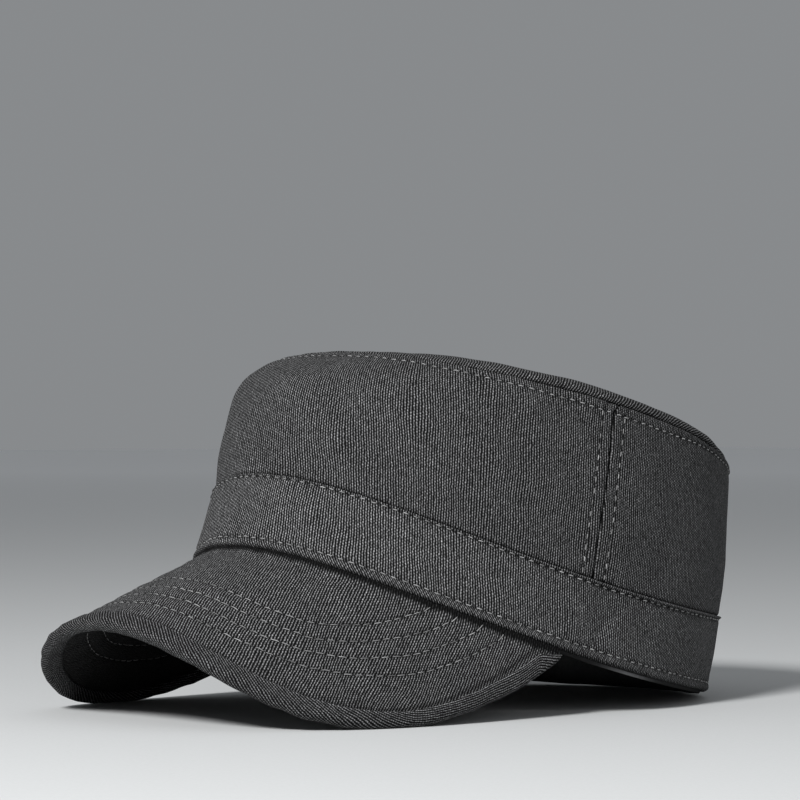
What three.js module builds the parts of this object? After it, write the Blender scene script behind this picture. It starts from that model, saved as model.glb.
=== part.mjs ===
import * as THREE from 'three';
import { mergeVertices } from 'three/addons/utils/BufferGeometryUtils.js';

// A cloth patrol cap, resting on the floor (z = 0) on its peak's two low points and the
// back of its band. Millimetres, +Z up, the peak towards -Y, the wearer's left towards +X.

// Driving sizes of the band and the crown
const HEAD_WIDTH = 168;
const HEAD_LENGTH = 206;
const HEM_LIFT = 59.6;
const BAND_HEIGHT = 26.8;
const CROWN_HEIGHT = 57;
const DOME_RISE = 10;

// Driving sizes of the peak
const PEAK_LENGTH = 58.4;
const PEAK_ARCH = 32.6;
const PEAK_BULGE = 0.5;
const PEAK_END_ANGLE = 77.5;

// Cloth thicknesses
const CROWN_CLOTH = 1.6;
const BAND_CLOTH = 2.2;
const SWEATBAND_CLOTH = 1.2;
const UPPER_CLOTH = 1.4;
const LOWER_CLOTH = 1.2;
const BINDING_CLOTH = 1;

// Widths and places of the sewn details, with angles in degrees from the front
const CLEARANCE = 0.3;
const BAND_STEP = 0.8;
const HEM_FOLD = 5;
const SWEATBAND_SHOW = 1;
const BINDING_WIDTH = 5;
const BINDING_ROUND = 1.4;
const SEAM_FOOT_ANGLE = 80.7;
const SEAM_HEAD_ANGLE = 82.4;
const FOOT_ANGLE = 155;
const FOOT_BLEND = 10;

// How finely each piece is divided
const BAND_STEPS = 72;
const FRONT_STEPS = 44;
const BACK_STEPS = 44;
const TOP_STEPS = 72;
const PEAK_STEPS = 40;

// A table's rows, each with its named columns
function table(columns, rows) {
  return rows.map((row) => Object.fromEntries(columns.map((column, k) => [column, row[k]])));
}

// The outer skin of the cap, from the hem up the wall and over the top to its centre.
// width and length are shares of the head's, and back moves a section towards the back by
// a share of the head's length. band, crown and dome are shares of those heights. lift,
// saddle and twist are shares of the hem's lift, raised as the cosine of one, two and three
// times the angle from the front. front draws in the front alone by a share of the head's
// length, and sink lowers it by a share of the crown's height.
const SECTIONS = table(
  ['name', 'width', 'length', 'back', 'front', 'sink', 'band', 'crown', 'dome', 'lift', 'saddle', 'twist'],
  [
    ['hem', 1, 1, 0, 0, 0, 0, 0, 0, 0.491, 0.108, 0.01],
    ['band top', 1.017, 0.98, 0.038, 0, 0, 1, 0, 0, 0.463, 0.115, 0.01],
    ['low', 1.022, 0.993, 0.049, 0.011, 0, 1, 0.33, 0, 0.455, 0.072, 0.008],
    ['high', 1.006, 0.984, 0.062, 0.029, 0.011, 1, 0.7, 0, 0.447, 0.025, 0.006],
    ['shoulder', 0.995, 0.973, 0.075, 0.066, 0.044, 1, 0.908, 0, 0.437, -0.005, 0.004],
    ['rim', 0.978, 0.941, 0.088, 0.1, 0.051, 1, 0.988, 0, 0.437, -0.015, 0.009],
    ['outer ring', 0.91, 0.89, 0.088, 0.115, 0.089, 1, 1, 0.42, 0.4, -0.015, 0.003],
    ['middle ring', 0.7, 0.69, 0.088, 0.06, 0.06, 1, 1, 0.775, 0.31, -0.01, 0],
    ['inner ring', 0.38, 0.38, 0.088, 0.02, 0.02, 1, 1, 0.96, 0.17, 0, 0],
    ['centre', 0, 0, 0.088, 0, 0, 1, 1, 1, 0, 0, 0],
  ],
);

// The hem's mean height as a share of its lift, and how narrowly front and sink keep to the front
const HEM_MEAN = 0.391;
const FRONT_FOCUS = 4;

const levelOf = (name) => SECTIONS.findIndex((row) => row.name === name);
const HEM = levelOf('hem');
const BAND_TOP = levelOf('band top');
const RIM = levelOf('rim');
const CENTRE = levelOf('centre');

// Soft hollows pressed into the cloth: where each is, how far it reaches and how deep it is.
// Angles are in degrees, levels count the sections' rows and depths are cloth thicknesses.
const DENTS = table(
  ['angle', 'level', 'around', 'along', 'depth'],
  [
    [86, 0.55, 3.5, 0.5, 0.4],
    [108, 2.2, 13, 1.1, 0.7],
    [58, 2.9, 15, 1, 0.5],
    [-70, 2.5, 18, 1.2, 0.7],
    [180, 2.4, 22, 1.1, 0.8],
  ],
);

const radians = THREE.MathUtils.degToRad;
const degrees = THREE.MathUtils.radToDeg;

// One column of the sections, smooth between its rows
function share(column, level) {
  const row = Math.min(Math.floor(level), CENTRE - 1);
  const t = level - row;
  const at = (k) => SECTIONS[THREE.MathUtils.clamp(k, 0, CENTRE)][column];
  const slopeA = (at(row + 1) - at(row - 1)) / 2;
  const slopeB = (at(row + 2) - at(row)) / 2;
  const rise = at(row + 1) - at(row);
  return at(row) + t * (slopeA + t * (3 * rise - 2 * slopeA - slopeB + t * (slopeA + slopeB - 2 * rise)));
}

// How deep the hollows are at a place of the skin
function dentDepth(level, angle) {
  return DENTS.reduce((sum, dent) => {
    const turn = THREE.MathUtils.euclideanModulo(degrees(angle) - dent.angle + 180, 360) - 180;
    const across = turn / dent.around;
    const along = (level - dent.level) / dent.along;
    return sum + dent.depth * CROWN_CLOTH * Math.exp(-across * across - along * along);
  }, 0);
}

// A point of the outer skin: angle in radians from the front, positive to the wearer's left
function skin(level, angle) {
  const c = Math.cos(angle);
  const frontness = ((1 + c) / 2) ** FRONT_FOCUS;
  const along = share('back', level) + share('front', level) * frontness - share('length', level) * c / 2;
  const height = HEM_LIFT * (HEM_MEAN + share('lift', level) * c
    + share('saddle', level) * Math.cos(2 * angle) + share('twist', level) * Math.cos(3 * angle))
    + BAND_HEIGHT * share('band', level)
    + CROWN_HEIGHT * (share('crown', level) - share('sink', level) * frontness)
    + DOME_RISE * share('dome', level);
  const dent = dentDepth(level, angle);
  return new THREE.Vector3(
    HEAD_WIDTH * share('width', level) * Math.sin(angle) / 2 - dent * Math.sin(angle),
    HEAD_LENGTH * along + dent * c,
    height,
  );
}

// The skin's direction up the wall and its normal, outwards. At the centre, where all the
// columns meet, both are taken across it.
function skinFrame(level, angle) {
  const small = 0.02;
  const ends = level < CENTRE
    ? {
      up: [skin(Math.max(level - small, HEM), angle), skin(Math.min(level + small, CENTRE), angle)],
      round: [skin(level, angle - small), skin(level, angle + small)],
    }
    : {
      up: [skin(CENTRE - small, 0), skin(CENTRE - small, Math.PI)],
      round: [skin(CENTRE - small, -Math.PI / 2), skin(CENTRE - small, Math.PI / 2)],
    };
  const [up, round] = [ends.up, ends.round].map(([start, end]) => end.clone().sub(start).normalize());
  return { up, out: new THREE.Vector3().crossVectors(round, up).normalize() };
}

// A closed body between an outer and an inner grid of points, joined at their rims.
// Cloth that would reach below the floor lies flat on it.
function body(outer, inner, wraps) {
  const columns = outer.length;
  const rows = outer[0].length;
  const points = [...outer.flat(), ...inner.flat()];
  const positions = points.flatMap((point) => [point.x, point.y, Math.max(point.z, 0)]);
  const at = (i, j, side) => side * columns * rows + (i % columns) * rows + j;
  const triangles = [];
  const quad = (a, b, c, d) => triangles.push([a, b, c], [a, c, d]);
  const spans = wraps ? columns : columns - 1;
  for (let i = 0; i < spans; i += 1) {
    for (let j = 0; j < rows - 1; j += 1) {
      quad(at(i, j, 0), at(i + 1, j, 0), at(i + 1, j + 1, 0), at(i, j + 1, 0));
      quad(at(i, j, 1), at(i, j + 1, 1), at(i + 1, j + 1, 1), at(i + 1, j, 1));
    }
    quad(at(i, 0, 0), at(i, 0, 1), at(i + 1, 0, 1), at(i + 1, 0, 0));
    quad(at(i, rows - 1, 0), at(i + 1, rows - 1, 0), at(i + 1, rows - 1, 1), at(i, rows - 1, 1));
  }
  if (!wraps) {
    for (let j = 0; j < rows - 1; j += 1) {
      quad(at(0, j, 0), at(0, j + 1, 0), at(0, j + 1, 1), at(0, j, 1));
      quad(at(spans, j, 0), at(spans, j, 1), at(spans, j + 1, 1), at(spans, j + 1, 0));
    }
  }
  return closed(positions, triangles);
}

// The triangles as one geometry, without those that shrink to a line, facing outwards
function closed(positions, triangles) {
  const loose = new THREE.BufferGeometry();
  loose.setAttribute('position', new THREE.Float32BufferAttribute(positions, 3));
  loose.setIndex(triangles.flat());
  const merged = mergeVertices(loose, 1e-3);
  const index = Array.from(merged.index.array);
  const point = (k) => new THREE.Vector3().fromBufferAttribute(merged.attributes.position, k);
  let kept = [];
  let volume = 0;
  for (let k = 0; k < index.length; k += 3) {
    const [a, b, c] = index.slice(k, k + 3);
    if (a !== b && b !== c && c !== a) {
      kept.push([a, b, c]);
      volume += point(a).dot(point(b).cross(point(c)));
    }
  }
  if (volume < 0) {
    kept = kept.map(([a, b, c]) => [a, c, b]);
  }
  merged.setIndex(kept.flat());
  merged.computeVertexNormals();
  return merged;
}

// Evenly spaced values from one to another, both included
function spread(from, to, steps) {
  return Array.from({ length: steps + 1 }, (_, k) => from + (to - from) * k / steps);
}

// A stretch of the skin as cloth between two levels, its ends drawn back for the seams.
// angleAt gives each column's angle at a level.
function panel(levels, columns, angleAt, wraps) {
  const outer = [];
  const inner = [];
  const last = levels.length - 1;
  for (const column of columns) {
    const faces = levels.map((level, k) => {
      const angle = angleAt(column, level);
      const { up, out } = skinFrame(level, angle);
      const seam = k === 0 ? CLEARANCE / 2 : k === last && level < CENTRE ? -CLEARANCE / 2 : 0;
      const face = skin(level, angle).addScaledVector(up, seam).addScaledVector(out, -BAND_STEP);
      return { face, lining: face.clone().addScaledVector(out, -CROWN_CLOTH) };
    });
    outer.push(faces.map((row) => row.face));
    inner.push(faces.map((row) => row.lining));
  }
  return body(outer, inner, wraps);
}

// The crown's wall: a front and a back panel that meet at a seam on each side
const levelsBetween = (low, high, parts) => parts.map((part) => low + part * (high - low));
const WALL_LEVELS = levelsBetween(BAND_TOP, RIM, [0, 0.13, 0.26, 0.4, 0.55, 0.75, 0.88, 1]);
const TOP_LEVELS = levelsBetween(RIM, CENTRE, [0, 0.12, 0.25, 0.5, 0.75, 1]);
const HALF_SEAM = CLEARANCE / HEAD_WIDTH;

function seamAngle(level) {
  const part = (level - BAND_TOP) / (RIM - BAND_TOP);
  return radians(SEAM_FOOT_ANGLE + (SEAM_HEAD_ANGLE - SEAM_FOOT_ANGLE) * part);
}

function crownFront() {
  const angleAt = (column, level) => column * (seamAngle(level) - HALF_SEAM);
  return panel(WALL_LEVELS, spread(-1, 1, FRONT_STEPS), angleAt, false);
}

function crownBack() {
  const angleAt = (column, level) => Math.PI + column * (Math.PI - seamAngle(level) - HALF_SEAM);
  return panel(WALL_LEVELS, spread(-1, 1, BACK_STEPS), angleAt, false);
}

function crownTop() {
  return panel(TOP_LEVELS, spread(-Math.PI, Math.PI, TOP_STEPS).slice(1), (column) => column, true);
}

// The band: a folded hem at its foot and a ridge at its top edge. level is a place on the
// skin, along is in hem folds up from it, and out and in are in thicknesses of the band.
const BAND_PROFILE = table(
  ['level', 'along', 'out', 'in'],
  [
    [HEM, 0, -0.22, -0.8],
    [HEM, 0.18, 0.02, -1],
    [HEM, 0.7, 0.06, -1],
    [HEM, 1, -0.12, -1],
    [HEM, 1.35, 0, -1],
    [0.6, 0, 0, -1],
    [BAND_TOP, -0.7, 0, -1],
    [BAND_TOP, -0.12, 0.04, -1],
    [BAND_TOP, 0, -0.14, -0.94],
  ],
);

// How far the hem is pressed flat on the floor, from 0 to 1 at the back
function pressed(angle) {
  const fromFront = Math.abs(degrees(angle));
  return THREE.MathUtils.smoothstep(fromFront, FOOT_ANGLE - FOOT_BLEND, FOOT_ANGLE);
}

function bandFrame(angle) {
  const up = skin(BAND_TOP, angle).sub(skin(HEM, angle)).normalize();
  return { up, out: skinFrame((HEM + BAND_TOP) / 2, angle).out };
}

function band() {
  const outer = [];
  const inner = [];
  for (const angle of spread(-Math.PI, Math.PI, BAND_STEPS).slice(1)) {
    const { up, out } = bandFrame(angle);
    const flat = pressed(angle);
    const place = (row, offset) => {
      const drawn = row.level === BAND_TOP ? -CLEARANCE / 2 : 0;
      const point = skin(row.level, angle).addScaledVector(up, row.along * HEM_FOLD + drawn);
      return point.addScaledVector(out, offset * BAND_CLOTH);
    };
    const outerColumn = BAND_PROFILE.map((row) => place(row, row.out));
    const innerColumn = BAND_PROFILE.map((row) => place(row, row.in));
    outerColumn[0].addScaledVector(out, -BAND_PROFILE[0].out * flat * BAND_CLOTH).z *= 1 - flat;
    innerColumn[0].addScaledVector(out, -(1 + BAND_PROFILE[0].in) * flat * BAND_CLOTH).z *= 1 - flat;
    outer.push(outerColumn);
    inner.push(innerColumn);
  }
  return body(outer, inner, true);
}

// The sweatband: a plain ring inside the band, its lower edge just below the hem
const SWEATBAND_LEVELS = levelsBetween(HEM, BAND_TOP, [0, 0.3, 0.6, 0.92]);

function sweatband() {
  const outer = [];
  const inner = [];
  for (const angle of spread(-Math.PI, Math.PI, BAND_STEPS).slice(1)) {
    const { up, out } = bandFrame(angle);
    const inset = BAND_CLOTH + CLEARANCE;
    const face = SWEATBAND_LEVELS.map((level) => skin(level, angle).addScaledVector(out, -inset));
    face[0].addScaledVector(up, -SWEATBAND_SHOW);
    const lining = face.map((point) => point.clone().addScaledVector(out, -SWEATBAND_CLOTH));
    face[0].z = Math.max(face[0].z, CLEARANCE);
    lining[0].z = Math.max(lining[0].z, CLEARANCE);
    outer.push(face);
    inner.push(lining);
  }
  return body(outer, inner, true);
}

// The peak's free edge from its middle to its end. across is a share of the end's distance
// from the middle, forward of the reach from the ends to the front, arch of the middle's
// height over the floor, and hem of the height at which the peak meets the hem.
const PEAK_EDGE = table(
  ['across', 'forward', 'arch', 'hem'],
  [
    [0, 1, 1, 0],
    [0.265, 0.986, 0.916, 0],
    [0.507, 0.944, 0.69, 0],
    [0.705, 0.868, 0.399, 0],
    [0.85, 0.759, 0.146, 0],
    [0.942, 0.62, 0.012, 0],
    [0.99, 0.464, 0, 0.01],
    [1.006, 0.304, 0, 0.2],
    [1.006, 0.15, 0, 0.52],
    [1, 0, 0, 1],
  ],
);
const SHEETS = UPPER_CLOTH + CLEARANCE + LOWER_CLOTH;
const EDGE_DEPTH = SHEETS + 2 * (CLEARANCE + BINDING_CLOTH);

// How high the edge's middle layer rests and how far the root drops, as shares of their depths
const EDGE_REST = 0.26 * EDGE_DEPTH;
const ROOT_DROP = CLEARANCE + 0.6 * SHEETS;

// Where the peak's middle layer starts, under the hem
function peakRoot(across) {
  const angle = across * radians(PEAK_END_ANGLE);
  const { out } = skinFrame(HEM, angle);
  const point = skin(HEM, angle).addScaledVector(out, -BAND_CLOTH / 2);
  point.z -= ROOT_DROP;
  return point;
}

const PEAK_END = peakRoot(1);
const PEAK_FRONT = skin(HEM, 0).y - PEAK_LENGTH;
const peakEdgeRow = (row, side) => new THREE.Vector3(
  side * row.across * PEAK_END.x,
  PEAK_END.y + (PEAK_FRONT - PEAK_END.y) * row.forward,
  EDGE_REST * (1 - row.hem) + row.arch * PEAK_ARCH + row.hem * PEAK_END.z,
);
const peakEdgeCurve = new THREE.CatmullRomCurve3([
  ...PEAK_EDGE.slice(1).reverse().map((row) => peakEdgeRow(row, -1)),
  ...PEAK_EDGE.map((row) => peakEdgeRow(row, 1)),
]);

// A point of the peak's middle layer: across from -1 to 1, out from the root 0 to the edge 1
function peakLayer(across, out) {
  const root = peakRoot(across);
  const edge = peakEdgeCurve.getPoint((across + 1) / 2);
  const length = root.distanceTo(edge);
  const point = root.clone().lerp(edge, out);
  const bulge = PEAK_BULGE * Math.min(length / PEAK_LENGTH, 1) ** 2;
  point.z += bulge * 4 * out * (1 - out);
  return point;
}

function peakFrame(across, out) {
  const small = 0.01;
  const low = Math.max(out - small, 0);
  const high = Math.min(out + small, 1);
  const along = peakLayer(across, high).sub(peakLayer(across, low)).normalize();
  const round = peakLayer(across + small, out).sub(peakLayer(across - small, out)).normalize();
  return { along, up: new THREE.Vector3().crossVectors(along, round).normalize() };
}

// The peak stops just short of its very ends, where it would have no width
const PEAK_ENDS = 0.98;

// The most of the peak's depth that the binding covers near its ends
const BINDING_LIMIT = 0.7;

const peakPoint = (across, out, offset) => (
  peakLayer(across, out).addScaledVector(peakFrame(across, out).up, offset)
);

// A cloth layer of the peak between two offsets from its middle layer
function peakSheet(low, high) {
  const columns = spread(-PEAK_ENDS, PEAK_ENDS, PEAK_STEPS);
  const rows = spread(0, 1, 4);
  const face = (offset) => columns.map((across) => rows.map((out) => peakPoint(across, out, offset)));
  return body(face(high), face(low), false);
}

// The binding: a strip folded round the peak's free edge, over both of its cloths
function peakEdge() {
  const inside = SHEETS / 2 + CLEARANCE;
  const outside = inside + BINDING_CLOTH;
  const nose = CLEARANCE + BINDING_ROUND;
  const strip = (across, depth, cornerDepth, tip) => {
    const length = peakLayer(across, 0).distanceTo(peakLayer(across, 1));
    const start = 1 - Math.min(BINDING_WIDTH / length, BINDING_LIMIT);
    const { along, up } = peakFrame(across, 1);
    const corner = (forward, offset) => (
      peakLayer(across, 1).addScaledVector(along, forward).addScaledVector(up, offset)
    );
    const flange = (side) => [
      peakPoint(across, start, side * depth),
      peakPoint(across, (1 + start) / 2, side * depth),
      corner(CLEARANCE, side * cornerDepth),
    ];
    return [...flange(1), corner(tip, 0), ...flange(-1).reverse()];
  };
  const columns = spread(-PEAK_ENDS, PEAK_ENDS, PEAK_STEPS);
  const outer = columns.map((across) => strip(across, outside, outside - BINDING_CLOTH / 5, nose));
  const inner = columns.map((across) => strip(across, inside, inside, CLEARANCE));
  return body(outer, inner, false);
}

// The pieces and their cloths
const TWILL = { color: 0x3a3a3c, roughness: 0.92, metalness: 0 };
const LINING = { color: 0x55565a, roughness: 0.85, metalness: 0 };

function piece(name, geometry, finish) {
  const mesh = new THREE.Mesh(geometry, new THREE.MeshStandardMaterial(finish));
  mesh.name = name;
  return mesh;
}

const group = new THREE.Group();
group.add(
  piece('crown_top', crownTop(), TWILL),
  piece('crown_front', crownFront(), TWILL),
  piece('crown_back', crownBack(), TWILL),
  piece('band', band(), TWILL),
  piece('sweatband', sweatband(), LINING),
  piece('peak_upper', peakSheet(SHEETS / 2 - UPPER_CLOTH, SHEETS / 2), TWILL),
  piece('peak_lower', peakSheet(-SHEETS / 2, LOWER_CLOTH - SHEETS / 2), TWILL),
  piece('peak_edge', peakEdge(), TWILL),
);

// The origin is on the floor, under the middle of the cap
const middle = new THREE.Box3().setFromObject(group).getCenter(new THREE.Vector3());
group.position.set(-middle.x, -middle.y, 0);

export default group;
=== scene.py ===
"""A charcoal cloth patrol cap: its cloths, seams and stitches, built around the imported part."""

import math

import bmesh
import bpy
import numpy as np
from mathutils import Matrix, Vector


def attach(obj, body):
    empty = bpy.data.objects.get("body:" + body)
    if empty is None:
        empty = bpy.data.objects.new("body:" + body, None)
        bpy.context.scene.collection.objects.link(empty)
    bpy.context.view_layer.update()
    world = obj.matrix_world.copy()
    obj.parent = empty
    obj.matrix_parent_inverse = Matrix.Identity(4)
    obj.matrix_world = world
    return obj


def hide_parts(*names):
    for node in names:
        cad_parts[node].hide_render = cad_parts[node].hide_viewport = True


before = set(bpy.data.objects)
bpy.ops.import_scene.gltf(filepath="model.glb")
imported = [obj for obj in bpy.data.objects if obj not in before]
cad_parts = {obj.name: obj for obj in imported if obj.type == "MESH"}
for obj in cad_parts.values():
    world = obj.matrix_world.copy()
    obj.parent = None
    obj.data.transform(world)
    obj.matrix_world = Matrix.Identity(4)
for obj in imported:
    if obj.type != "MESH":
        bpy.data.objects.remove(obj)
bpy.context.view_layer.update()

# Sizes below are in millimetres unless a name says otherwise
MM = 0.001

# The solid part's own sizes
HEAD_WIDTH = 168
HEAD_LENGTH = 206
HEM_LIFT = 59.6
BAND_HEIGHT = 26.8
CROWN_HEIGHT = 57
DOME_RISE = 10
PEAK_LENGTH = 58.4
PEAK_ARCH = 32.6
PEAK_BULGE = 0.5
PEAK_END_ANGLE = 77.5
PEAK_ENDS = 0.995
CROWN_CLOTH = 1.6
BAND_CLOTH = 2.2
SWEATBAND_CLOTH = 1.2
UPPER_CLOTH = 1.4
LOWER_CLOTH = 1.2
BINDING_CLOTH = 1
CLEARANCE = 0.3
BAND_STEP = 0.8
SWEATBAND_SHOW = 1
BINDING_LIMIT = 0.7
SEAM_FOOT_ANGLE = 80.7
SEAM_HEAD_ANGLE = 82.4
SEAM_BOW = 1.2
HEM_MEAN = 0.391
FRONT_FOCUS = 4

# How far the frame's origin lies in front of the middle of the hem
BACK_SHIFT = 24.29

# The sections of the cap's skin from the hem to the crown's centre, as shares of the sizes
SECTION_COLUMNS = (
    "width", "length", "back", "front", "sink", "band", "crown", "dome", "lift", "saddle", "twist",
)
SECTIONS = {
    "hem": (1, 1, 0, 0, 0, 0, 0, 0, 0.491, 0.108, 0.01),
    "band top": (1.017, 0.98, 0.038, 0, 0, 1, 0, 0, 0.463, 0.115, 0.01),
    "low": (1.022, 0.993, 0.049, 0.011, 0, 1, 0.33, 0, 0.455, 0.072, 0.008),
    "high": (1.006, 0.984, 0.062, 0.029, 0.011, 1, 0.7, 0, 0.447, 0.025, 0.006),
    "shoulder": (0.995, 0.973, 0.075, 0.066, 0.044, 1, 0.908, 0, 0.437, -0.005, 0.004),
    "rim": (0.978, 0.941, 0.088, 0.1, 0.051, 1, 0.988, 0, 0.437, -0.015, 0.009),
    "outer ring": (0.91, 0.89, 0.088, 0.115, 0.089, 1, 1, 0.42, 0.4, -0.015, 0.003),
    "middle ring": (0.7, 0.69, 0.088, 0.06, 0.06, 1, 1, 0.775, 0.31, -0.01, 0),
    "inner ring": (0.38, 0.38, 0.088, 0.02, 0.02, 1, 1, 0.96, 0.17, 0, 0),
    "centre": (0, 0, 0.088, 0, 0, 1, 1, 1, 0, 0, 0),
}
SHARES = dict(zip(SECTION_COLUMNS, np.array(list(SECTIONS.values()), float).T))
HEM, BAND_TOP, HIGH, RIM, CENTRE = (
    list(SECTIONS).index(name) for name in ("hem", "band top", "high", "rim", "centre")
)

# Soft hollows in the cloth: angle, level, how far round and along they reach, and depth in cloths
DENTS = (
    (86, 0.55, 3.5, 0.5, 0.4),
    (108, 2.2, 13, 1.1, 0.7),
    (58, 2.9, 15, 1, 0.5),
    (-70, 2.5, 18, 1.2, 0.7),
    (180, 2.4, 22, 1.1, 0.8),
)

# The peak's free edge from its middle to its end, as shares: across, forward, arch and hem
PEAK_EDGE = (
    (0, 1, 1, 0),
    (0.265, 0.986, 0.916, 0),
    (0.507, 0.944, 0.69, 0),
    (0.705, 0.868, 0.399, 0),
    (0.85, 0.759, 0.146, 0),
    (0.942, 0.62, 0.012, 0),
    (0.99, 0.464, 0, 0.01),
    (1.006, 0.304, 0, 0.2),
    (1.006, 0.15, 0, 0.52),
    (1, 0, 0, 1),
)
SHEETS = UPPER_CLOTH + CLEARANCE + LOWER_CLOTH
EDGE_DEPTH = SHEETS + 2 * (CLEARANCE + BINDING_CLOTH)
EDGE_REST = 0.26 * EDGE_DEPTH
ROOT_DROP = CLEARANCE + 0.6 * SHEETS

# How far a panel's edge keeps from its seam, and the upper cloth's root from the plain line of the
# hem, which it may pass because the hem rolls inwards there
EDGE_GAP = 0.02
HEM_GAP = -0.2

# Sewing
STITCH_PITCH = 4.0
PEAK_STITCH = 3.5
STITCH_LENGTH = 2.3
THREAD_RADIUS = 0.2
THREAD_SUNK = 0.22
THREAD_BOW = 0.36
STITCH_RINGS = 7
STITCH_SIDES = 6
RIM_ROW = 4.8
SIDE_ROW = 5.0
BAND_ROW = 1.05
HEM_ROW = 3.7
PEAK_ROWS = (17.5, 24.3, 31.0, 37.8)

# How many of the wall's rows of points under the rim have no stitches of the side rows
SIDE_ROW_STOP = 11

# How far the row under the rim lies from it, by the angle from the front in degrees
ROW_ANGLES = (0, 30, 50, 75, 95, 105, 115, 130, 180)
RIM_ROWS = (4.8, 4.8, 5.3, 5.3, 4.8, 3.9, 2.9, 2.7, 3.2)

# How the peak's rows wander from their distances, and the binding's width, by their place across the peak
PLACES_ACROSS = (0, 0.25, 0.35, 0.45, 0.55, 0.65, 0.75, 0.9)
ROW_WANDER = (-1.6, -1.2, 0.2, 1.1, 0.3, -1.0, -1.3, -0.2)
BINDING_WIDTHS = (6.5, 5.8, 5.4, 5.2, 4.4, 4.1, 4.9, 6.8)

# How far the row at the band's top edge lies from it, by the angle from the front in degrees
BAND_ROW_ANGLES = (0, 50, 80, 180)
BAND_ROWS = (0.95, 0.95, 1.5, 1.5)

# A small fold across the band: its angle at the hem, its lean and its width in degrees, how deep it
# is, and the height of the soft ridge behind it
FOLD_ANGLE = 84
FOLD_LEAN = 0.12
FOLD_WIDTH = 1.3
FOLD_DEPTH = 0.45
FOLD_RIDGE = 0.25

# Where the sweatband's lower edge is left without painted shade, as an angle from the front and half a width
# in degrees
UNSHADED_ANGLE = 97
UNSHADED_WIDTH = 6

# How far the hem's ribs run sideways for each millimetre below its stitches
HEM_SLANT = 0.7

# How the crown's ribs lean from the steepest way up, by the angle from the front, in degrees
LEAN_ANGLES = (-90, -30, 12, 28, 50, 80, 120, 150)
LEANS = (0, 5, 7, 5, -3, -6, -4, 0)

# How the binding's ribs slant, by the place across the peak, in degrees
SLANT_PLACES = (0, 0.2, 0.45, 0.6, 0.7, 1)
SLANTS = (42, 38, 32, 24, 4, 0)

# Spacing of the twill's ribs and of the sweatband's threads, and the direction in which the ribs run
# over the top as seen from above
RIB_PITCH = 0.97
FINE_PITCH = 0.45
TOP_RIB_ANGLE = math.radians(132)

# How far the twill's ribs stray from their places, over a long way and from thread to thread
RIB_DRIFT = 1.4
RIB_JITTER = 0.32


def share(column, level):
    """One column of the sections, smooth between its rows."""
    values = SHARES[column]
    row = np.clip(np.floor(level), 0, CENTRE - 1).astype(int)
    t = level - row
    before, start, end, after = (values[np.clip(row + k, 0, CENTRE)] for k in (-1, 0, 1, 2))
    slope_a = (end - before) / 2
    slope_b = (after - start) / 2
    rise = end - start
    return start + t * (slope_a + t * (3 * rise - 2 * slope_a - slope_b + t * (slope_a + slope_b - 2 * rise)))


def dent_depth(level, angle):
    """How deep the hollows are at a place of the skin."""
    depth = np.zeros_like(level)
    for centre, row, around, along, cloths in DENTS:
        turn = (np.degrees(angle) - centre + 180) % 360 - 180
        depth += cloths * CROWN_CLOTH * np.exp(-((turn / around) ** 2) - ((level - row) / along) ** 2)
    return depth


def skin(level, angle):
    """Points of the cap's outer skin. Angles are in radians from the front, to the wearer's left."""
    level, angle = np.broadcast_arrays(np.asarray(level, float), np.asarray(angle, float))
    cos, sin = np.cos(angle), np.sin(angle)
    frontness = ((1 + cos) / 2) ** FRONT_FOCUS
    along = share("back", level) + share("front", level) * frontness - share("length", level) * cos / 2
    tilt = share("lift", level) * cos + share("saddle", level) * np.cos(2 * angle)
    height = HEM_LIFT * (HEM_MEAN + tilt + share("twist", level) * np.cos(3 * angle))
    height = height + BAND_HEIGHT * share("band", level) + DOME_RISE * share("dome", level)
    height = height + CROWN_HEIGHT * (share("crown", level) - share("sink", level) * frontness)
    dent = dent_depth(level, angle)
    x = HEAD_WIDTH * share("width", level) * sin / 2 - dent * sin
    return np.stack([x, HEAD_LENGTH * along + dent * cos + BACK_SHIFT, height], -1)


def unit(vectors):
    return vectors / np.linalg.norm(vectors, axis=-1, keepdims=True)


def skin_frame(level, angle):
    """The skin's direction up the wall and its normal, outwards."""
    small = 0.02
    level, angle = np.broadcast_arrays(np.asarray(level, float), np.asarray(angle, float))
    near = np.minimum(level, CENTRE - 2 * small)
    up = unit(skin(near + small, angle) - skin(np.maximum(near - small, HEM), angle))
    around = unit(skin(near, angle + small) - skin(near, angle - small))
    return up, unit(np.cross(around, up))


def peak_root(across):
    """Where the peak's middle layer starts, under the hem."""
    angle = np.asarray(across, float) * math.radians(PEAK_END_ANGLE)
    level = np.zeros_like(angle)
    point = skin(level, angle) - skin_frame(level, angle)[1] * BAND_CLOTH / 2
    point[..., 2] -= ROOT_DROP
    return point


PEAK_END = peak_root(np.array([1.0]))[0]
PEAK_FRONT = skin(HEM, 0)[1] - PEAK_LENGTH


def peak_edge_row(row, side):
    across, forward, arch, hem = row
    return (
        side * across * PEAK_END[0],
        PEAK_END[1] + (PEAK_FRONT - PEAK_END[1]) * forward,
        EDGE_REST * (1 - hem) + arch * PEAK_ARCH + hem * PEAK_END[2],
    )


EDGE_POINTS = np.array(
    [peak_edge_row(row, -1) for row in PEAK_EDGE[:0:-1]] + [peak_edge_row(row, 1) for row in PEAK_EDGE]
)


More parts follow.
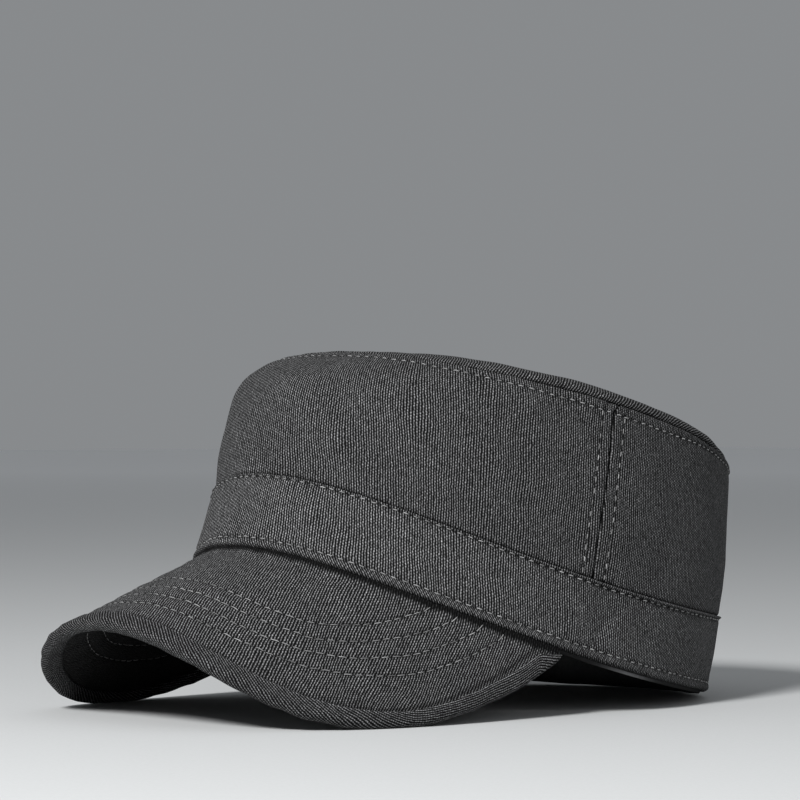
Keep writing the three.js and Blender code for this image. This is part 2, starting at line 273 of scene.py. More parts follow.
def through(points, t):
    """A centripetal Catmull-Rom curve through points, at t from 0 to 1."""
    last = len(points) - 1
    padded = np.vstack([2 * points[0] - points[1], points, 2 * points[-1] - points[-2]])
    place = np.clip(t, 0, 1) * last
    k = np.minimum(np.floor(place).astype(int), last - 1)
    w = (place - k)[..., None]
    p0, p1, p2, p3 = (padded[k + step] for step in range(4))
    d0, d1, d2 = (np.sum((b - a) ** 2, -1, keepdims=True) ** 0.25 for a, b in ((p0, p1), (p1, p2), (p2, p3)))
    t1 = ((p1 - p0) / d0 - (p2 - p0) / (d0 + d1) + (p2 - p1) / d1) * d1
    t2 = ((p2 - p1) / d1 - (p3 - p1) / (d1 + d2) + (p3 - p2) / d2) * d1
    return p1 + t1 * w + (-3 * p1 + 3 * p2 - 2 * t1 - t2) * w**2 + (2 * p1 - 2 * p2 + t1 + t2) * w**3


def peak_layer(across, out):
    """A point of the peak's middle layer: across from -1 to 1, out from the root 0 to the edge 1."""
    across, out = np.broadcast_arrays(np.asarray(across, float), np.asarray(out, float))
    root = peak_root(across)
    edge = through(EDGE_POINTS, (across + 1) / 2)
    length = np.linalg.norm(edge - root, axis=-1)
    point = root + (edge - root) * out[..., None]
    point[..., 2] += PEAK_BULGE * np.minimum(length / PEAK_LENGTH, 1) ** 2 * 4 * out * (1 - out)
    return point


def peak_frame(across, out):
    small = 0.01
    farther, nearer = np.minimum(out + small, 1), np.maximum(out - small, 0)
    along = unit(peak_layer(across, farther) - peak_layer(across, nearer))
    around = unit(peak_layer(across + small, out) - peak_layer(across - small, out))
    return along, unit(np.cross(along, around))


# Measures along a grid of points, its columns first and then its rows
def arc(points, axis):
    """Arc length through a grid along one of its axes, from its start."""
    steps = np.linalg.norm(np.diff(points, axis=axis), axis=-1)
    start = np.zeros_like(np.take(steps, [0], axis=axis))
    return np.concatenate([start, np.cumsum(steps, axis=axis)], axis=axis)


def steep_uv(points, out, reference):
    """Weave coordinates of a cloth whose ribs climb it as steeply as they can, through a reference row."""
    level_way = unit(np.cross(np.array([0.0, 0.0, 1.0]), out))
    steps = np.diff(points, axis=1)
    sideways = np.sum(steps * (level_way[:, 1:] + level_way[:, :-1]) / 2, -1)
    shift = np.concatenate([np.zeros_like(sideways[:, :1]), np.cumsum(sideways, axis=1)], axis=1)
    shift = shift - shift[:, reference : reference + 1]
    around = arc(points[:, reference : reference + 1], 0)
    return np.stack([around - around[len(around) // 2] + shift, arc(points, 1)], -1)


def contour(values, field, level):
    """What a grid of values holds where a field along each column passes a level, and which columns do."""
    passes = (field[:, :-1] - level) * (field[:, 1:] - level) <= 0
    row = passes.argmax(axis=1)
    column = np.arange(len(values))
    a, b = field[column, row], field[column, row + 1]
    t = ((level - a) / np.where(b == a, 1, b - a))[:, None]
    return values[column, row] * (1 - t) + values[column, row + 1] * t, passes.any(axis=1)


def graded_levels(angles, low, high, fine_low, fine_high, coarse):
    """Levels down each column: fine steps in millimetres at both ends and coarse ones between."""
    samples = np.linspace(low, high, 90)
    lengths = arc(skin(samples[None, :], angles[:, None]), 1)
    rows = []
    for length in lengths:
        middle = np.linspace(fine_low[-1], length[-1] - fine_high[-1], coarse + 2)[1:-1]
        places = np.concatenate([fine_low, middle, length[-1] - fine_high[::-1]])
        rows.append(np.interp(places, length, samples))
    return np.array(rows)


def ripple(points, wave, seed):
    """Soft unevenness of about unit height over points in space, with a wavelength."""
    random = np.random.default_rng(seed)
    total = np.zeros(points.shape[:-1])
    count = 9
    for _ in range(count):
        direction = unit(random.normal(size=3))
        waves = points @ direction * (2 * math.pi / wave) * random.uniform(0.7, 1.4)
        total += np.sin(waves + random.uniform(0, 6.28))
    return total / math.sqrt(count / 2)


def groove(distance, width):
    return np.exp(-((distance / width) ** 2))


def rolled(distance, reach):
    return np.clip(1 - distance / reach, 0, 1) ** 2


def hump(distance, low, high):
    return np.sin(math.pi * np.clip((distance - low) / (high - low), 0, 1)) ** 2


def sewn(distance, along, width=0.5):
    """How far a row of stitches draws the cloth in, most at the needle holes."""
    holes = 0.5 + 0.5 * np.cos(2 * math.pi * along / STITCH_PITCH)
    return groove(distance, width) * (0.62 + 0.38 * holes)


# Meshes
def strip(first, second, first_uv, second_uv):
    """Faces between two rows of vertices of the same length."""
    corners = (first[:-1], first[1:], second[1:], second[:-1])
    uvs = (first_uv[:-1], first_uv[1:], second_uv[1:], second_uv[:-1])
    return np.stack(corners, 1), np.stack(uvs, 1)


def looped(grid):
    """The grid with its first column again at its end."""
    return np.concatenate([grid, grid[:1]])


def numbers(grid, start, wraps=False):
    """The number of each place of a grid, with the first column's again at the end if it wraps."""
    ids = start + np.arange(grid.shape[0] * grid.shape[1]).reshape(grid.shape[:2])
    return looped(ids) if wraps else ids


def cloth_piece(
    name, outer, inner, wraps, outer_uv, inner_uv, tone, material, replaced, flip=False, inner_painted_shading=1.0
):
    """A closed body of cloth between two grids of points, with its weave's coordinates as UVs.

    Each side's tone is painted light and shade, a factor on the colour: 1 leaves the material's own
    brightness, less paints shade and more paints a highlight. flip turns the faces round.
    """
    outer_ids = numbers(outer, 0, wraps)
    inner_ids = numbers(inner, outer.shape[0] * outer.shape[1], wraps)
    outer_uv_ids = numbers(outer_uv, 0)
    inner_uv_ids = numbers(inner_uv, outer_uv_ids.size)
    faces, uvs = [], []

    def add(pair):
        faces.append(pair[0])
        uvs.append(pair[1])

    for j in range(outer.shape[1] - 1):
        add(strip(outer_ids[:, j], outer_ids[:, j + 1], outer_uv_ids[:, j], outer_uv_ids[:, j + 1]))
    for j in range(inner.shape[1] - 1):
        add(strip(inner_ids[:, j + 1], inner_ids[:, j], inner_uv_ids[:, j + 1], inner_uv_ids[:, j]))
    add(strip(inner_ids[:, 0], outer_ids[:, 0], outer_uv_ids[:, 0], outer_uv_ids[:, 0]))
    add(strip(outer_ids[:, -1], inner_ids[:, -1], outer_uv_ids[:, -1], outer_uv_ids[:, -1]))
    if not wraps:
        add(strip(outer_ids[0], inner_ids[0], outer_uv_ids[0], outer_uv_ids[0]))
        add(strip(inner_ids[-1], outer_ids[-1], outer_uv_ids[-1], outer_uv_ids[-1]))
    faces, uvs = np.concatenate(faces), np.concatenate(uvs)
    if flip:
        faces, uvs = faces[:, ::-1], uvs[:, ::-1]
    points = np.concatenate([outer.reshape(-1, 3), inner.reshape(-1, 3)])
    points[:, 2] = np.maximum(points[:, 2], 0)
    mesh = bpy.data.meshes.new(name)
    mesh.from_pydata((points * MM).tolist(), [], faces.tolist())
    layer = mesh.uv_layers.new(name="cloth")
    places = np.concatenate([outer_uv.reshape(-1, 2), inner_uv.reshape(-1, 2)])[uvs.ravel()]
    layer.uv.foreach_set("vector", places.astype(np.float32).ravel())
    # Painted light and shade, kept as a factor on the cloth's colour at each point
    sides = ((tone, outer), (inner_painted_shading, inner))
    tones = np.concatenate([np.broadcast_to(value, grid.shape[:2]).ravel() for value, grid in sides])
    mesh.attributes.new("tone", "FLOAT", "POINT").data.foreach_set("value", tones.astype(np.float32))
    return finished(name, mesh, material, replaced)


def finished(name, mesh, material, replaced=()):
    """Joins points that coincide, shades the mesh smoothly and puts it on the frame."""
    work = bmesh.new()
    work.from_mesh(mesh)
    bmesh.ops.remove_doubles(work, verts=work.verts, dist=1e-7)
    work.to_mesh(mesh)
    work.free()
    mesh.shade_smooth()
    mesh.materials.append(material)
    piece = bpy.data.objects.new(name, mesh)
    bpy.context.scene.collection.objects.link(piece)
    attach(piece, "root")
    if replaced:
        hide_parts(*replaced)
    return piece


class Seam:
    """A row of stitches on a grid of points, where a field over the grid has one value, the distance."""

    def __init__(self, base, out, field, distance, closed=False, left_out=0):
        self.field, self.distance, self.closed = field, distance, closed
        path, found = contour(base, field, distance)
        found[len(found) - left_out :] = False
        self.out = contour(out, field, distance)[0]
        steps = np.linalg.norm(np.diff(looped(path) if closed else path, axis=0), axis=1)
        self.along = np.concatenate([[0], np.cumsum(steps)])
        used = self.along[: len(path)][found]
        low, high = (0, self.along[-1]) if closed else (used[0], used[-1])
        self.count = max(round((high - low) / STITCH_PITCH), 1)
        self.along = (self.along - low) * self.count * STITCH_PITCH / (high - low)
        self.at_column = self.along[: len(path)]

    def drawn(self, width=0.5):
        """How far the row draws each point of the grid in, from 0 to 1."""
        return sewn(self.field - self.distance, self.at_column[:, None], width)

    def stitches(self, points, seed, thickness=THREAD_RADIUS, reach=STITCH_LENGTH):
        """Thread meshes along the seam on the finished cloth: vertices and faces."""
        path, out = contour(points, self.field, self.distance)[0], self.out
        if self.closed:
            path, out = looped(path), looped(out)
        starts = np.arange(self.count) * STITCH_PITCH
        random = np.random.default_rng(seed)
        spare = (STITCH_PITCH - reach) / 2
        t = np.linspace(0, 1, STITCH_RINGS)
        length = reach * random.uniform(0.85, 1.08, self.count)
        begin = starts + spare + random.uniform(-0.15, 0.15, self.count)
        places = begin[:, None] + length[:, None] * t
        centre, normal = self.sample(path, places), unit(self.sample(out, places))
        tangent = unit(np.gradient(centre, axis=1))
        side = unit(np.cross(tangent, normal))
        bow = 1 - (2 * t - 1) ** 4
        height = -THREAD_SUNK + THREAD_BOW * bow[None, :] * random.uniform(0.85, 1.15, (self.count, 1))
        drift = random.uniform(-0.12, 0.12, (self.count, 1))
        drift = drift + random.uniform(-0.1, 0.1, (self.count, 1)) * (2 * t - 1)
        centre = centre + normal * height[..., None] + side * drift[..., None]
        radius = thickness * (0.55 + 0.45 * np.sqrt(bow))
        turn = np.arange(STITCH_SIDES) * 2 * math.pi / STITCH_SIDES
        ring = side[:, :, None] * np.cos(turn)[:, None] + normal[:, :, None] * np.sin(turn)[:, None] * 0.85
        vertices = centre[:, :, None] + ring * radius[None, :, None, None]
        return vertices.reshape(-1, 3), stitch_faces(self.count)

    def sample(self, values, places):
        """Vectors of the path at places along it."""
        return np.stack([np.interp(places, self.along, values[:, k]) for k in range(3)], -1)


def stitch_faces(count):
    """Faces of the tubes of many stitches, closed at both ends, as lists of vertex numbers."""
    faces = []
    per = STITCH_RINGS * STITCH_SIDES
    for k in range(count):
        for ring in range(STITCH_RINGS - 1):
            for side in range(STITCH_SIDES):
                a = k * per + ring * STITCH_SIDES + side
                b = k * per + ring * STITCH_SIDES + (side + 1) % STITCH_SIDES
                faces.append((a, a + STITCH_SIDES, b + STITCH_SIDES, b))
        faces.append([k * per + side for side in range(STITCH_SIDES)])
        faces.append([(k + 1) * per - 1 - side for side in range(STITCH_SIDES)])
    return faces


def thread_piece(name, parts, material):
    """Rows of stitches joined as one piece."""
    points, faces, start = [], [], 0
    for vertices, part_faces in parts:
        points.append(vertices)
        faces.extend([[start + v for v in face] for face in part_faces])
        start += len(vertices)
    points = np.concatenate(points)
    points[:, 2] = np.maximum(points[:, 2], 0)
    mesh = bpy.data.meshes.new(name)
    mesh.from_pydata((points * MM).tolist(), [], faces)
    return finished(name, mesh, material)


# Materials
class Graph:
    """A short way to build a material's nodes."""

    def __init__(self, name):
        self.material = bpy.data.materials.new(name)
        self.material.use_nodes = True
        self.tree = self.material.node_tree
        self.shader = self.tree.nodes["Principled BSDF"]

    def node(self, kind, inputs=(), **settings):
        made = self.tree.nodes.new(kind)
        for key, value in settings.items():
            setattr(made, key, value)
        for key, value in dict(inputs).items():
            self.put(made.inputs[key], value)
        return made

    def put(self, socket, value):
        if isinstance(value, bpy.types.NodeSocket):
            self.tree.links.new(value, socket)
        else:
            socket.default_value = value

    def math(self, operation, *values):
        made = self.node("ShaderNodeMath", operation=operation)
        for socket, value in zip(made.inputs, values):
            self.put(socket, value)
        return made.outputs[0]

    def spread(self, value, low, high, to_low, to_high):
        names = ("Value", "From Min", "From Max", "To Min", "To Max")
        made = self.node("ShaderNodeMapRange", dict(zip(names, (value, low, high, to_low, to_high))))
        return made.outputs["Result"]

    def vector(self, x, y, z=0.0):
        return self.node("ShaderNodeCombineXYZ", {"X": x, "Y": y, "Z": z}).outputs[0]

    def noise(self, vector, scale, detail=2.0, roughness=0.5):
        inputs = {"Vector": vector, "Scale": scale, "Detail": detail, "Roughness": roughness}
        return self.node("ShaderNodeTexNoise", inputs).outputs["Fac"]

    def shade(self, factor, dark, light, clamped=False):
        """Colours the shader from a dark colour to a light one."""
        mixed = self.node("ShaderNodeMix", data_type="RGBA", clamp_factor=clamped)
        self.put(mixed.inputs["Factor"], factor)
        self.put(mixed.inputs[6], (*dark, 1))
        self.put(mixed.inputs[7], (*light, 1))
        self.put(self.shader.inputs["Base Color"], mixed.outputs[2])

    def emboss(self, height, metres, strength=1.0):
        """Gives the shader a fine relief from a height."""
        bump = self.node("ShaderNodeBump", {"Strength": strength, "Distance": metres, "Height": height})
        self.put(self.shader.inputs["Normal"], bump.outputs[0])

    def tone(self):
        """The painted light and shade stored with the mesh, a factor on the colour."""
        return self.node("ShaderNodeAttribute", attribute_name="tone").outputs["Fac"]


def twill(name, colour):
    """Cotton twill with raised ribs. Its UVs are in millimetres, x across the ribs and y along them."""
    graph = Graph(name)
    places = graph.node("ShaderNodeUVMap", uv_map="cloth").outputs[0]
    split = graph.node("ShaderNodeSeparateXYZ", {"Vector": places})
    x, y = split.outputs["X"], split.outputs["Y"]
    drift = graph.spread(graph.noise(places, 0.045, 1.0), 0, 1, -RIB_DRIFT, RIB_DRIFT)
    jitter = graph.spread(graph.noise(places, 0.7, 1.0), 0, 1, -RIB_JITTER, RIB_JITTER)
    wandering = graph.math("ADD", graph.math("ADD", x, drift), jitter)
    phase = graph.math("DIVIDE", wandering, RIB_PITCH)
    rib = graph.spread(graph.math("SINE", graph.math("MULTIPLY", phase, 2 * math.pi)), -1, 1, 0, 1)
    number = graph.math("FLOOR", graph.math("ADD", phase, 0.25))
    floats = graph.math("ADD", y, graph.math("MULTIPLY", number, 0.37))
    bead = graph.spread(graph.math("SINE", graph.math("MULTIPLY", floats, 2 * math.pi)), -1, 1, 0, 1)
    along_yarn = graph.vector(graph.math("MULTIPLY", number, 3.7), graph.math("MULTIPLY", y, 0.62))
    yarn = graph.noise(along_yarn, 1.0, 2.0, 0.6)
    speck = graph.noise(places, 1.9, 3.0, 0.65)
    patch = graph.noise(places, 0.05, 2.0)
    body = graph.math("POWER", rib, 0.8)
    height = graph.math("MULTIPLY", body, graph.spread(bead, 0, 1, 0.72, 1))
    height = graph.math("MULTIPLY", height, graph.spread(yarn, 0.25, 0.75, 0.7, 1.15))
    height = graph.math("ADD", height, graph.math("MULTIPLY", speck, 0.35))
    # The colour runs from near black in the grooves between the ribs up to full on their crests: painted
    # shade in the grooves, on top of the bump's relief. The yarn, bead, speck and patch factors are random
    # changes in the cloth's own brightness.
    crest = graph.math("POWER", rib, 3.5)
    light = graph.spread(crest, 0, 1, 0.01, 1)
    light = graph.math("MULTIPLY", light, graph.spread(yarn, 0.25, 0.75, 0.35, 1.75))
    light = graph.math("MULTIPLY", light, graph.spread(bead, 0, 1, 0.4, 1.5))
    light = graph.math("MULTIPLY", light, graph.spread(speck, 0.3, 0.7, 0.4, 1.65))
    light = graph.math("MULTIPLY", light, graph.spread(patch, 0.3, 0.7, 0.93, 1.07))
    # The near black colour is the painted shade in the grooves, and the mesh's painted light and shade
    # multiplies the whole
    graph.shade(graph.math("MULTIPLY", light, graph.tone()), (0.0015, 0.0015, 0.0016), colour)
    graph.emboss(height, 0.0003)
    graph.put(graph.shader.inputs["Roughness"], graph.spread(speck, 0.2, 0.8, 0.8, 0.97))
    graph.shader.inputs["Specular IOR Level"].default_value = 0.08
    graph.shader.inputs["Sheen Weight"].default_value = 0.02
    graph.shader.inputs["Sheen Roughness"].default_value = 0.4
    return graph.material


def plain_weave(name, colour):
    """A smooth woven cloth with fine threads both ways."""
    graph = Graph(name)
    places = graph.node("ShaderNodeUVMap", uv_map="cloth").outputs[0]
    split = graph.node("ShaderNodeSeparateXYZ", {"Vector": places})
    turns = 2 * math.pi / FINE_PITCH
    across = graph.math("SINE", graph.math("MULTIPLY", split.outputs["X"], turns))
    along = graph.math("SINE", graph.math("MULTIPLY", split.outputs["Y"], turns))
    weave = graph.spread(graph.math("MULTIPLY", across, along), -1, 1, 0, 1)
    cloud = graph.noise(places, 0.9, 3.0, 0.6)
    light = graph.spread(weave, 0, 1, 0.75, 1.1)
    light = graph.math("MULTIPLY", light, graph.spread(cloud, 0.25, 0.75, 0.8, 1.2))
    graph.shade(graph.math("MULTIPLY", light, graph.tone()), (0.003, 0.003, 0.003), colour)
    graph.emboss(weave, 0.00008)
    graph.shader.inputs["Roughness"].default_value = 0.8
    graph.shader.inputs["Specular IOR Level"].default_value = 0.08
    return graph.material


def sewing_thread(name, colour):
    """Spun thread, a little lighter than the cloth, with its fibres' unevenness."""
    graph = Graph(name)
    places = graph.node("ShaderNodeTexCoord").outputs["Object"]
    fibres = graph.noise(places, 2600.0, 3.0, 0.6)
    worn = graph.spread(graph.noise(places, 170.0, 1.0), 0.3, 0.7, 0.25, 1.4)
    light = graph.math("MULTIPLY", graph.spread(fibres, 0.25, 0.75, 0.65, 1.25), worn)
    graph.shade(light, (0.01, 0.01, 0.01), colour)
    graph.emboss(fibres, 0.00005, 0.6)
    graph.shader.inputs["Roughness"].default_value = 0.6
    graph.shader.inputs["Sheen Weight"].default_value = 0.3
    return graph.material


CROWN = twill("crown_twill", (0.184, 0.184, 0.187))
BAND = twill("band_twill", (0.22, 0.22, 0.223))
PEAK = twill("peak_twill", (0.2, 0.2, 0.203))
BINDING = twill("binding_twill", (0.145, 0.145, 0.148))
SWEATBAND = plain_weave("sweatband_cloth", (0.17, 0.17, 0.175))
THREAD = sewing_thread("thread", (0.28, 0.28, 0.28))

# Rows of stitches, gathered by the piece they belong to
threads = {}


# The crown's wall: a front and a back panel that meet at a seam on each side
EDGE_STEPS = np.array([0, 0.35, 0.7, 1.1, 1.5, 2, 2.5, 2.9, 3.2, 3.5, 3.9, 4.5, 5.2, 6, 7])
FOOT_STEPS = np.array([0, 0.4, 0.9, 1.6, 2.6, 4])

# The panels' gap from a side seam as an angle, in radians
HALF_SEAM = 2 * EDGE_GAP / HEAD_WIDTH


def side_columns(reach, count):
    """Places across a panel from -1 to 1, closer together at its side seams. reach is half its width."""
    edge = np.array([0, 0.35, 0.7, 1.1, 1.6, 2.2, 2.9, 3.5, 4, 4.5, 5.1, 6]) / reach
    middle = np.linspace(-1 + edge[-1], 1 - edge[-1], count)[1:-1]
    return np.concatenate([edge - 1, middle, 1 - edge[::-1]])


def seam_angle(level):
    """Where the side seams are, bowed back a little half way up as the sewing pulls them."""
    part = (level - BAND_TOP) / (RIM - BAND_TOP)
    bow = SEAM_BOW * np.exp(-(((part - 0.5) / 0.22) ** 2))
    return np.radians(SEAM_FOOT_ANGLE + (SEAM_HEAD_ANGLE - SEAM_FOOT_ANGLE) * part + bow)


def front_reach(level):
    """Half the front panel's angle, in radians."""
    return seam_angle(level) - HALF_SEAM


def back_reach(level):
    """Half the back panel's angle, in radians."""
    return math.pi - seam_angle(level) - HALF_SEAM


def swapped(grid):
    """The grid with its columns as rows."""
    return np.swapaxes(grid, 0, 1)


def wall_panel(name, columns, middle, reach, replaced, seed):
    """A panel of the wall from the band to the rim, with its seams and topstitching."""
    levels = graded_levels(middle + columns * reach(HIGH), BAND_TOP, RIM, FOOT_STEPS, EDGE_STEPS, 28)
    angle = middle + columns[:, None] * reach(levels)
    up, out = skin_frame(levels, angle)
    base = skin(levels, angle) - out * BAND_STEP
    base[:, 0] += up[:, 0] * EDGE_GAP
    base[:, -1] -= up[:, -1] * EDGE_GAP
    height = arc(base, 1)
    across = arc(base, 0)
    to_rim = height[:, -1:] - height
    to_side = np.minimum(across, across[-1:] - across)
    from_front = np.degrees(np.arctan2(np.sin(angle), np.cos(angle)))
    wander = np.interp(np.abs(from_front), ROW_ANGLES, RIM_ROWS) - RIM_ROW
    rim_seam = Seam(base, out, to_rim - wander, RIM_ROW)
    side_seams = [
        Seam(swapped(base), swapped(out), swapped(inwards), SIDE_ROW, left_out=SIDE_ROW_STOP)
        for inwards in (across, across[-1:] - across)
    ]
    relief = -1.1 * rolled(to_rim, 1.5) - 0.9 * rolled(to_side, 0.85) - 0.6 * rolled(height, 1.2)
    relief += 0.3 * hump(to_rim, 0.3, 3.2) + 0.12 * hump(to_side, 0.3, 4)
    sides = sum(swapped(seam.drawn()) for seam in side_seams)
    relief -= 0.45 * rim_seam.drawn() + 0.4 * sides
    to_edge = np.minimum(to_rim, to_side)
    relief += 0.1 * ripple(base, 6, seed) * np.exp(-to_edge / 5) + 0.08 * ripple(base, 13, seed + 1)
    relief += 0.22 * ripple(base, 38, seed + 2) * np.clip(np.minimum(to_rim, height) / 10, 0, 1)
    face = base + out * relief[..., None]
    lining = base - out * CROWN_CLOTH
    lining[:, -1] -= out[:, -1] * 0.2
    uv = steep_uv(base, out, base.shape[1] // 2)
    lean = np.interp(from_front, LEAN_ANGLES, LEANS)
    uv[..., 0] += np.tan(np.radians(lean)) * (height - height[:, -1:] / 2)
    # Painted shade in the grooves of the rim and side stitching and along the rolled edges at the rim, the
    # side seams and the foot under the band
    tone = 1 - 0.85 * rim_seam.drawn(0.6) - 0.75 * sides
    tone -= 0.8 * rolled(to_rim, 1.1) + 0.95 * rolled(to_side, 0.85) + 0.9 * rolled(height, 1.5)
    tone = np.clip(tone, 0.08, 1.3)
    cloth_piece(name, face, lining, False, uv, uv, tone, CROWN, [replaced])
    threads.setdefault("rim_stitches", []).append(rim_seam.stitches(face, seed))
    for number, seam in enumerate(side_seams):
        threads.setdefault("side_stitches", []).append(seam.stitches(swapped(face), seed + 5 + number))


FRONT_COLUMNS = side_columns(reach=140, count=340)
BACK_COLUMNS = side_columns(reach=152, count=370)
wall_panel("front_cloth", FRONT_COLUMNS, 0, front_reach, "crown_front", seed=11)
wall_panel("back_cloth", BACK_COLUMNS, math.pi, back_reach, "crown_back", seed=31)


# The crown's top: one panel, sewn to the wall round the rim
def flat_uv(points):
    """The weave's coordinates over a shallow dome of columns from its rim to its centre, laid out flat."""
    middle = points[:, -1:, :2]
    outwards = unit(points[:, :1, :2] - middle)
    run = arc(points, 1)
    places = outwards * (run[:, -1:] - run)[..., None]
    direction = np.array([math.cos(TOP_RIB_ANGLE), math.sin(TOP_RIB_ANGLE)])
    across = np.array([direction[1], -direction[0]])
    return np.stack([places @ across, places @ direction], -1)


def round_angles(count):
    """Angles right round the cap, from the back."""
    return -math.pi + 2 * math.pi * np.arange(count) / count


def top_panel():
    angles = round_angles(720)
    edge_rows = 12
    levels = graded_levels(angles, RIM, CENTRE - 0.001, EDGE_STEPS[:edge_rows], np.array([0, 2.0]), 34)
    levels[:, -1] = CENTRE
    up, out = skin_frame(levels, angles[:, None])
    base = skin(levels, angles[:, None]) - out * BAND_STEP
    base[:, 0] += up[:, 0] * EDGE_GAP
    to_rim = arc(base, 1)
    relief = -0.6 * rolled(to_rim, 1.5) + 0.15 * hump(to_rim, 0.3, 5)
    relief += 0.08 * ripple(base, 7, 51) * np.exp(-to_rim / 5) + 0.08 * ripple(base, 16, 52)
    relief += 0.1 * ripple(base, 48, 53) * np.clip(to_rim / 12, 0, 1)
    relief[:, -1] = relief[:, -1].mean()
    face = base + out * relief[..., None]
    face[:, -1] = face[:, -1].mean(axis=0)
    rows = np.r_[0:edge_rows:3, edge_rows : levels.shape[1] : 4, levels.shape[1] - 1]
    lining = (base - out * CROWN_CLOTH)[:, np.unique(rows)]
    lining[:, -1] = lining[:, -1].mean(axis=0)
    # Painted shade where the top rolls in at the rim seam
    tone = np.clip(1 - 0.8 * rolled(to_rim, 1.2), 0.15, 1)
    outer_uv, inner_uv = flat_uv(looped(face)), flat_uv(looped(lining))
    cloth_piece(
        "top_cloth", face, lining, True, outer_uv, inner_uv, tone, CROWN, ["crown_top"]
    )


top_panel()


# The band, with a rolled hem at its foot and a sewn ridge at its top edge
def band_frame(angles):
    """The band's direction up and its normal, outwards."""
    up = unit(skin(BAND_TOP, angles) - skin(HEM, angles))
    return up, skin_frame((HEM + BAND_TOP) / 2, angles)[1]


def band_piece():
    angles = round_angles(760)
    hem_steps = np.array([0, 0.25, 0.7, 1.3, 2.0, 2.7, 3.4, 4.0, 4.5, 5.0, 5.5, 6.1, 7.0])
    top_steps = np.array([0, 0.2, 0.5, 0.9, 1.3, 1.6, 1.9, 2.2, 2.6, 3.2, 4.0])
    levels = graded_levels(angles, HEM, BAND_TOP, hem_steps, top_steps, 14)
    up, out = (np.broadcast_to(v[:, None], (*levels.shape, 3)) for v in band_frame(angles))
    base = skin(levels, angles[:, None])
    base[:, -1] -= up[:, -1] * EDGE_GAP
    height = arc(base, 1)
    to_top = height[:, -1:] - height
    hem_seam = Seam(base, out, height, HEM_ROW, closed=True)
    degrees = np.degrees(angles)[:, None]
    to_edge = to_top * BAND_ROW / np.interp(np.abs(degrees), BAND_ROW_ANGLES, BAND_ROWS)
    top_seam = Seam(base, out, to_edge, BAND_ROW, closed=True)
    relief = 0.42 * hump(height, -1.4, HEM_ROW) - 1.5 * rolled(height, 1.5) ** 0.8
    relief += 0.5 * hump(to_edge, -0.5, BAND_ROW) - 0.6 * rolled(to_top, 0.5)
    crease = degrees - FOLD_ANGLE - FOLD_LEAN * height
    fold = FOLD_RIDGE * groove(crease - 3, 2) - FOLD_DEPTH * groove(crease, FOLD_WIDTH)
    relief += fold * hump(height, 2, 21)
    relief -= 0.5 * hem_seam.drawn(0.6) + 0.55 * top_seam.drawn()
    near = np.minimum(np.abs(height - HEM_ROW), to_top)
    relief += 0.15 * ripple(base, 5.5, 71) * np.exp(-near / 3.5) + 0.1 * ripple(base, 14, 72)
    relief += 0.16 * ripple(base, 34, 73) * np.clip(np.minimum(to_top, height) / 7, 0, 1)
    face = base + out * relief[..., None]
    inner_rows = np.linspace(0, levels.shape[1] - 1, 8).round().astype(int)
    lining = (base - out * BAND_CLOTH)[:, inner_rows]
    outer_uv = steep_uv(looped(base), looped(out), levels.shape[1] - 8)
    outer_uv[..., 0] += HEM_SLANT * looped(np.minimum(height - HEM_ROW, 0))
    # Painted shade in the grooves of the hem and top stitching and under the rolled hem, and a painted
    # highlight along the top ridge's upper edge
    tone = 1 - 0.7 * hem_seam.drawn(0.55) - 0.9 * top_seam.drawn(0.55) - 1.2 * rolled(height, 2.0)
    tone = np.clip(tone + 0.25 * hump(to_top, -0.3, 0.9), 0.06, 1.3)
    inner_uv = outer_uv[:, inner_rows]
    # The band's inside gets 0.12 of the colour as painted shade inside the cap
    cloth_piece(
        "band_cloth", face, lining, True, outer_uv, inner_uv, tone, BAND, ["band"],
        inner_painted_shading=0.12,
    )
    threads["band_stitches"] = [top_seam.stitches(face, 81)]
    threads["hem_stitches"] = [hem_seam.stitches(face, 82)]


band_piece()


# The sweatband inside the band, its rolled lower edge just below the hem
def sweatband_piece():
    angles = round_angles(360)
    shares = np.array([0, 0.01, 0.03, 0.07, 0.15, 0.3, 0.5, 0.7, 0.86, 0.92])
    up, out = (np.broadcast_to(v[:, None], (len(angles), len(shares), 3)) for v in band_frame(angles))
    base = skin(HEM + shares[None, :] * (BAND_TOP - HEM), angles[:, None]) - out * (BAND_CLOTH + CLEARANCE)
    shown = SWEATBAND_SHOW * np.array([1, 0.85, 0.5, 0.15, 0, 0, 0, 0, 0, 0])
    base = base - up * shown[:, None]
    edge = np.array([0.55, 0.2, 0.03, 0, 0, 0, 0, 0, 0.1, 0.45])
    waver = 0.12 * ripple(base, 18, 91)
    face = base + out * (waver - edge * SWEATBAND_CLOTH * 0.8)[..., None]
    lining = base + out * (waver - SWEATBAND_CLOTH * (1 - 0.4 * edge))[..., None]
    face[:, 0, 2] = np.maximum(face[:, 0, 2], CLEARANCE)
    lining[:, 0, 2] = np.maximum(lining[:, 0, 2], CLEARANCE)
    around = arc(looped(base[:, :1]), 0)
    uv = np.stack([around + 0 * shares, arc(looped(base), 1)], -1)
    # Painted shade darkens the sweatband's lower edge on both faces all round, except in a window at each
    # side
    unshaded = groove(np.abs(np.degrees(angles))[:, None] - UNSHADED_ANGLE, UNSHADED_WIDTH)
    tone = 1 - 0.95 * np.clip(1 - shares / 0.3, 0, 1) * (1 - unshaded)
    cloth_piece(
        "sweatband_cloth", face, lining, True, uv, uv, tone, SWEATBAND, ["sweatband"],
        inner_painted_shading=tone,
    )


sweatband_piece()


# The peak: an upper and a lower cloth sewn together in rows, and a binding round its edge
def distance_to_edge(points):
    """How far each point of the peak's middle layer is from its free edge."""
    edge = through(EDGE_POINTS, np.linspace(0, 1, 900))
    flat = points.reshape(-1, 3)
    nearest = [np.linalg.norm(part[:, None] - edge, axis=-1).min(axis=1) for part in np.array_split(flat, 40)]
    return np.concatenate(nearest).reshape(points.shape[:-1])


def by_place(across, values):
    """A value by the place across the peak, alike on both sides."""
    return np.interp(np.abs(across), PLACES_ACROSS, values)


